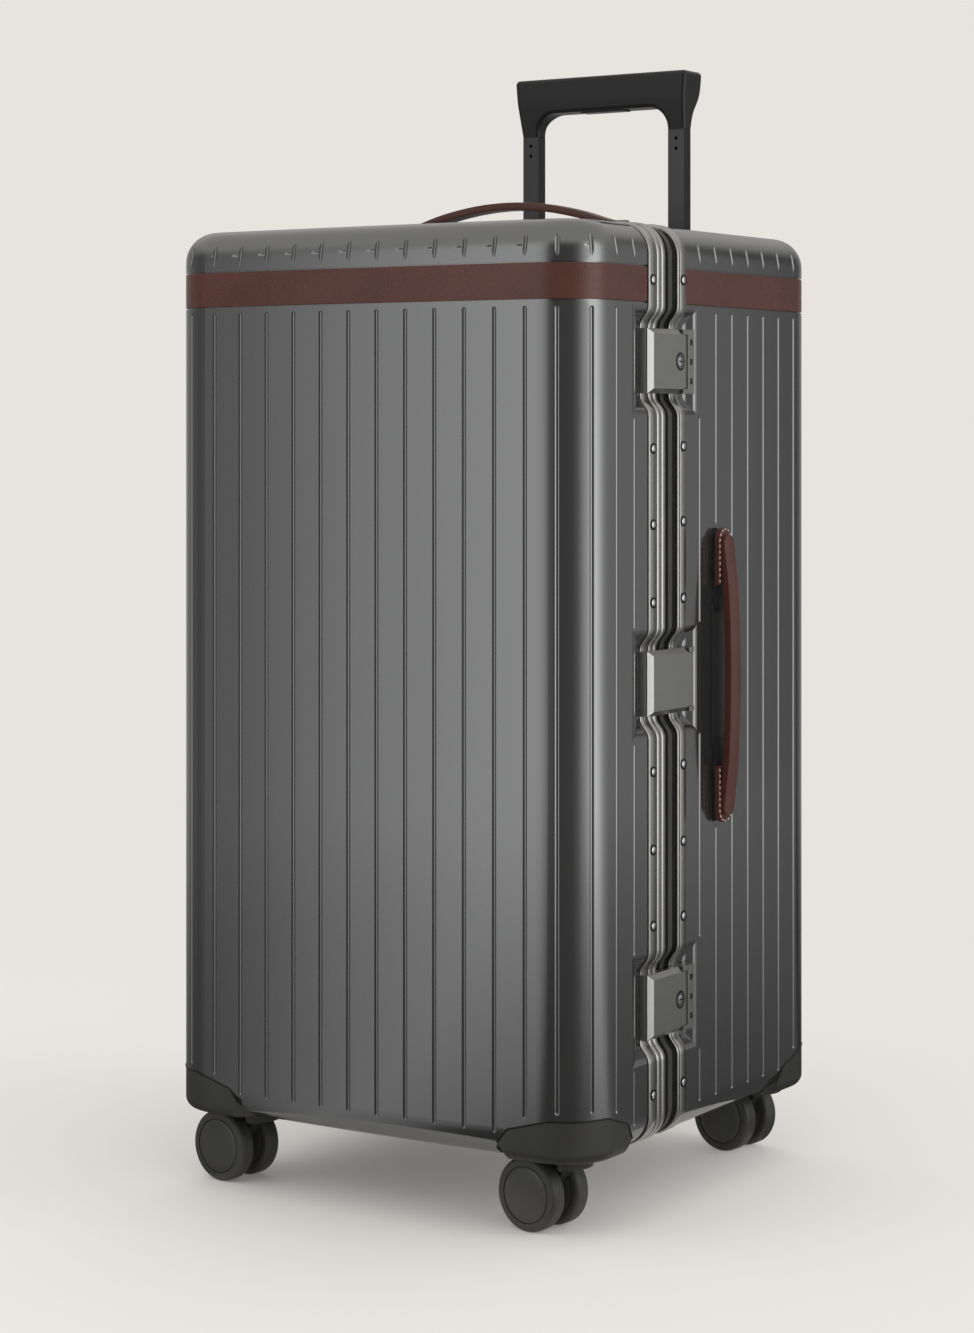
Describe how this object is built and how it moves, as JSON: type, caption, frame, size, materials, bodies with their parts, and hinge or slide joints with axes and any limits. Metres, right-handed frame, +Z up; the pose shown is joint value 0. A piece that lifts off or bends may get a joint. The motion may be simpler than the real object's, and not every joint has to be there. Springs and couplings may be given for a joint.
{
  "type": "suitcase",
  "caption": "Hard-shell trunk suitcase with grooved halves, a hinged framed lid with lever latches, leather handles and band, a telescopic trolley and swivelling casters.",
  "frame": {"origin": "on the floor, under the middle of the case body", "axes": "+Z up, -Y is the lid's face, +X is the side with the latches and the side handle"},
  "size_m": [0.43, 0.3977, 0.936],
  "materials": {
    "shell": "satin",
    "frame": "brushed",
    "seal": "matte",
    "leather": "satin",
    "rivet": "satin",
    "latch": "satin",
    "steel": "satin",
    "dial": "matte",
    "tube": "black satin",
    "trolley": "fine matte texture",
    "anchor": "matte",
    "lining": "woven",
    "guard": "matte",
    "wheel": "matte"
  },
  "bodies": {
    "base": {"rear_shell": "shell", "base_frame": "frame", "frame_seal": "seal", "base_band": "leather", "base_frame_rivets": "rivet", "upper_latch_body": "latch", "lower_latch_body": "latch", "middle_clasp_body": "latch", "latch_pins": "steel", "trolley_outer_tubes": "tube", "trolley_bezel": "trolley", "side_handle": "leather", "side_handle_anchors": "anchor", "top_handle": "leather", "top_handle_anchors": "anchor", "base_hinge_leaves": "steel", "hinge_pins": "steel", "base_lining": "lining", "rear_left_guard": "guard", "rear_right_guard": "guard"},
    "lid": {"front_shell": "shell", "lid_frame": "frame", "lid_band": "leather", "lid_frame_rivets": "rivet", "latch_keepers": "latch", "lid_hinge_leaves": "steel", "lid_lining": "lining", "front_left_guard": "guard", "front_right_guard": "guard"},
    "trolley_lower": {"trolley_lower_tubes": "tube"},
    "trolley_upper": {"trolley_upper_tubes": "tube", "trolley_grip": "trolley"},
    "trolley_button": {"trolley_button": "trolley"},
    "upper_latch_lever": {"upper_latch_lever": "latch"},
    "upper_latch_cylinder": {"upper_latch_cylinder": "steel"},
    "upper_latch_dial_1": {"upper_latch_dial_1": "dial"},
    "upper_latch_dial_2": {"upper_latch_dial_2": "dial"},
    "upper_latch_dial_3": {"upper_latch_dial_3": "dial"},
    "middle_clasp_lever": {"middle_clasp_lever": "latch"},
    "lower_latch_lever": {"lower_latch_lever": "latch"},
    "lower_latch_cylinder": {"lower_latch_cylinder": "steel"},
    "lower_latch_dial_1": {"lower_latch_dial_1": "dial"},
    "lower_latch_dial_2": {"lower_latch_dial_2": "dial"},
    "lower_latch_dial_3": {"lower_latch_dial_3": "dial"},
    "front_left_caster": {"front_left_fork": "guard", "front_left_axle": "steel"},
    "front_left_wheel_a": {"front_left_wheel_a": "wheel"},
    "front_left_wheel_b": {"front_left_wheel_b": "wheel"},
    "front_right_caster": {"front_right_fork": "guard", "front_right_axle": "steel"},
    "front_right_wheel_a": {"front_right_wheel_a": "wheel"},
    "front_right_wheel_b": {"front_right_wheel_b": "wheel"},
    "rear_left_caster": {"rear_left_fork": "guard", "rear_left_axle": "steel"},
    "rear_left_wheel_a": {"rear_left_wheel_a": "wheel"},
    "rear_left_wheel_b": {"rear_left_wheel_b": "wheel"},
    "rear_right_caster": {"rear_right_fork": "guard", "rear_right_axle": "steel"},
    "rear_right_wheel_a": {"rear_right_wheel_a": "wheel"},
    "rear_right_wheel_b": {"rear_right_wheel_b": "wheel"}
  },
  "joints": [
    {"name": "lid_hinge", "type": "hinge", "parent": "base", "child": "lid", "pos_m": [-0.2075, -0.0661, 0.423], "axis": [0, 0, -1], "range_deg": [0, 100]},
    {"name": "trolley_lower_slide", "type": "slide", "parent": "base", "child": "trolley_lower", "axis": [0, 0, 1], "range_m": [0, 0.126]},
    {"name": "trolley_upper_slide", "type": "slide", "parent": "trolley_lower", "child": "trolley_upper", "axis": [0, 0, 1], "range_m": [-0.099, 0.031]},
    {"name": "trolley_button_press", "type": "slide", "parent": "trolley_upper", "child": "trolley_button", "axis": [0, 0, 1], "range_m": [0, 0.0035]},
    {"name": "upper_latch_lift", "type": "hinge", "parent": "base", "child": "upper_latch_lever", "pos_m": [0.201, -0.0468, 0.6757], "axis": [0, 0, 1], "range_deg": [0, 85]},
    {"name": "upper_latch_key_turn", "type": "hinge", "parent": "upper_latch_lever", "child": "upper_latch_cylinder", "pos_m": [0.205, -0.0553, 0.6757], "axis": [1, 0, 0], "range_deg": [0, 90]},
    {"name": "upper_latch_dial_1_turn", "type": "hinge", "parent": "base", "child": "upper_latch_dial_1", "pos_m": [0.2014, -0.0375, 0.6602], "axis": [0, 0, 1], "continuous": true},
    {"name": "upper_latch_dial_2_turn", "type": "hinge", "parent": "base", "child": "upper_latch_dial_2", "pos_m": [0.2014, -0.0375, 0.6757], "axis": [0, 0, 1], "continuous": true},
    {"name": "upper_latch_dial_3_turn", "type": "hinge", "parent": "base", "child": "upper_latch_dial_3", "pos_m": [0.2014, -0.0375, 0.6912], "axis": [0, 0, 1], "continuous": true},
    {"name": "middle_clasp_lift", "type": "hinge", "parent": "base", "child": "middle_clasp_lever", "pos_m": [0.201, -0.0365, 0.423], "axis": [0, 0, 1], "range_deg": [0, 85]},
    {"name": "lower_latch_lift", "type": "hinge", "parent": "base", "child": "lower_latch_lever", "pos_m": [0.201, -0.0468, 0.1703], "axis": [0, 0, 1], "range_deg": [0, 85]},
    {"name": "lower_latch_key_turn", "type": "hinge", "parent": "lower_latch_lever", "child": "lower_latch_cylinder", "pos_m": [0.205, -0.0553, 0.1703], "axis": [1, 0, 0], "range_deg": [0, 90]},
    {"name": "lower_latch_dial_1_turn", "type": "hinge", "parent": "base", "child": "lower_latch_dial_1", "pos_m": [0.2014, -0.0375, 0.1548], "axis": [0, 0, 1], "continuous": true},
    {"name": "lower_latch_dial_2_turn", "type": "hinge", "parent": "base", "child": "lower_latch_dial_2", "pos_m": [0.2014, -0.0375, 0.1703], "axis": [0, 0, 1], "continuous": true},
    {"name": "lower_latch_dial_3_turn", "type": "hinge", "parent": "base", "child": "lower_latch_dial_3", "pos_m": [0.2014, -0.0375, 0.1858], "axis": [0, 0, 1], "continuous": true},
    {"name": "front_left_swivel", "type": "hinge", "parent": "lid", "child": "front_left_caster", "pos_m": [-0.15, -0.148, 0.062], "axis": [0, 0, 1], "continuous": true},
    {"name": "front_left_wheel_a_roll", "type": "hinge", "parent": "front_left_caster", "child": "front_left_wheel_a", "pos_m": [-0.16684, -0.14563, 0.029], "axis": [0.1392, 0.9903, 0], "continuous": true},
    {"name": "front_left_wheel_b_roll", "type": "hinge", "parent": "front_left_caster", "child": "front_left_wheel_b", "pos_m": [-0.16684, -0.14563, 0.029], "axis": [0.1392, 0.9903, 0], "continuous": true},
    {"name": "front_right_swivel", "type": "hinge", "parent": "lid", "child": "front_right_caster", "pos_m": [0.15, -0.148, 0.062], "axis": [0, 0, 1], "continuous": true},
    {"name": "front_right_wheel_a_roll", "type": "hinge", "parent": "front_right_caster", "child": "front_right_wheel_a", "pos_m": [0.13317, -0.14563, 0.029], "axis": [0.1392, 0.9903, 0], "continuous": true},
    {"name": "front_right_wheel_b_roll", "type": "hinge", "parent": "front_right_caster", "child": "front_right_wheel_b", "pos_m": [0.13317, -0.14563, 0.029], "axis": [0.1392, 0.9903, 0], "continuous": true},
    {"name": "rear_left_swivel", "type": "hinge", "parent": "base", "child": "rear_left_caster", "pos_m": [-0.15, 0.168, 0.062], "axis": [0, 0, 1], "continuous": true},
    {"name": "rear_left_wheel_a_roll", "type": "hinge", "parent": "rear_left_caster", "child": "rear_left_wheel_a", "pos_m": [-0.16684, 0.17037, 0.029], "axis": [0.1392, 0.9903, 0], "continuous": true},
    {"name": "rear_left_wheel_b_roll", "type": "hinge", "parent": "rear_left_caster", "child": "rear_left_wheel_b", "pos_m": [-0.16684, 0.17037, 0.029], "axis": [0.1392, 0.9903, 0], "continuous": true},
    {"name": "rear_right_swivel", "type": "hinge", "parent": "base", "child": "rear_right_caster", "pos_m": [0.15, 0.168, 0.062], "axis": [0, 0, 1], "continuous": true},
    {"name": "rear_right_wheel_a_roll", "type": "hinge", "parent": "rear_right_caster", "child": "rear_right_wheel_a", "pos_m": [0.13317, 0.17037, 0.029], "axis": [0.1392, 0.9903, 0], "continuous": true},
    {"name": "rear_right_wheel_b_roll", "type": "hinge", "parent": "rear_right_caster", "child": "rear_right_wheel_b", "pos_m": [0.13317, 0.17037, 0.029], "axis": [0.1392, 0.9903, 0], "continuous": true}
  ]
}
